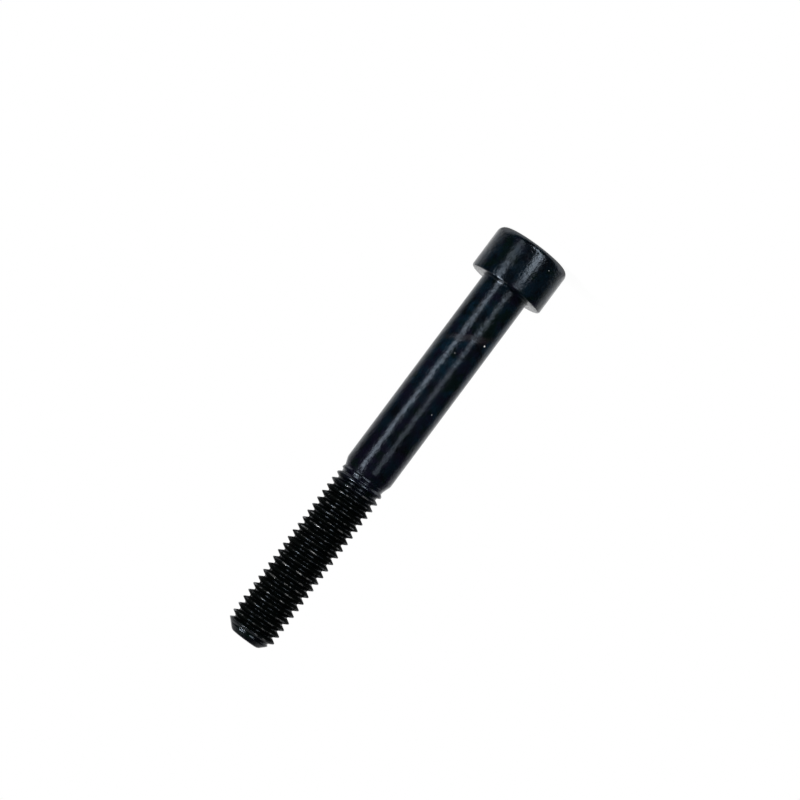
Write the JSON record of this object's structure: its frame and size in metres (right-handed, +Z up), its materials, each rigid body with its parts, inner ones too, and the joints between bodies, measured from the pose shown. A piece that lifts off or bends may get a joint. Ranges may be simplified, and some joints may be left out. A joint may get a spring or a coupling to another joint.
{
  "type": "hex socket head cap screw",
  "caption": "Black steel cap screw with a cylindrical head, hexagonal socket, long plain shank, waisted neck and a threaded end with a chamfered tip.",
  "frame": {"origin": "centre of the bearing face under the head, on the screw's axis", "axes": "+Z up the screw's axis from the bearing face to the tip, the way the screw is driven in; +X through a corner of the hexagonal socket"},
  "size_m": [0.0128, 0.0128, 0.0744],
  "materials": {
    "black_steel": "black oxide, lightly oiled, satin"
  },
  "bodies": {
    "root": {"cap_screw": "black_steel"}
  },
  "joints": []
}
